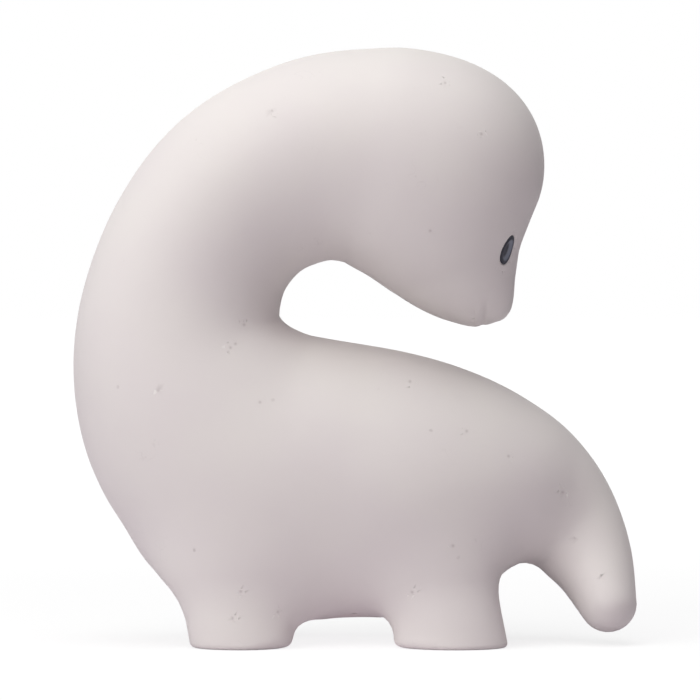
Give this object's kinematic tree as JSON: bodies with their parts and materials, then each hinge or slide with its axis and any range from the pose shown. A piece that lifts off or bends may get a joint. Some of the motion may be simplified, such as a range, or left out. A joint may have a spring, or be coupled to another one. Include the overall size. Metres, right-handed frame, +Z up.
{
  "type": "rubber dinosaur teether",
  "caption": "Hollow off-white rubber long-necked dinosaur teether: neck curled back over the body to form a grip gap, stub legs, painted oval eyes, belly plug and a loose rattle capsule inside.",
  "frame": {"origin": "on the floor, below the middle of the animal's box", "axes": "+Z up, +X towards the tail, the chest faces -X, Y across the animal with its left side at -Y"},
  "size_m": [0.1036, 0.0462, 0.1098],
  "materials": {
    "body_rubber": "matte",
    "plug_rubber": "matte",
    "eye_enamel": "satin enamel",
    "capsule_plastic": "satin",
    "bead_plastic": "gloss"
  },
  "bodies": {
    "animal": {"body_shell": "body_rubber", "belly_plug": "plug_rubber", "eye_left": "eye_enamel", "eye_right": "eye_enamel"},
    "rattle": {"rattle_cup": "capsule_plastic", "rattle_cap": "capsule_plastic"},
    "bead_1": {"rattle_bead_1": "bead_plastic"},
    "bead_2": {"rattle_bead_2": "bead_plastic"},
    "bead_3": {"rattle_bead_3": "bead_plastic"},
    "bead_4": {"rattle_bead_4": "bead_plastic"},
    "bead_5": {"rattle_bead_5": "bead_plastic"},
    "bead_6": {"rattle_bead_6": "bead_plastic"},
    "bead_7": {"rattle_bead_7": "bead_plastic"},
    "bead_8": {"rattle_bead_8": "bead_plastic"}
  },
  "joints": [
    {"name": "rattle_hop", "type": "slide", "parent": "animal", "child": "rattle", "axis": [0, 0, 1], "range_m": [0, 0.025]},
    {"name": "bead_1_hop", "type": "slide", "parent": "rattle", "child": "bead_1", "axis": [0, 0, 1], "range_m": [0, 0.0042]},
    {"name": "bead_2_hop", "type": "slide", "parent": "rattle", "child": "bead_2", "axis": [0, 0, 1], "range_m": [0, 0.0042]},
    {"name": "bead_3_hop", "type": "slide", "parent": "rattle", "child": "bead_3", "axis": [0, 0, 1], "range_m": [0, 0.0042]},
    {"name": "bead_4_hop", "type": "slide", "parent": "rattle", "child": "bead_4", "axis": [0, 0, 1], "range_m": [0, 0.0042]},
    {"name": "bead_5_hop", "type": "slide", "parent": "rattle", "child": "bead_5", "axis": [0, 0, 1], "range_m": [0, 0.0042]},
    {"name": "bead_6_hop", "type": "slide", "parent": "rattle", "child": "bead_6", "axis": [0, 0, 1], "range_m": [0, 0.0042]},
    {"name": "bead_7_hop", "type": "slide", "parent": "rattle", "child": "bead_7", "axis": [0, 0, 1], "range_m": [0, 0.0042]},
    {"name": "bead_8_hop", "type": "slide", "parent": "rattle", "child": "bead_8", "axis": [0, 0, 1], "range_m": [0, 0.0042]}
  ]
}
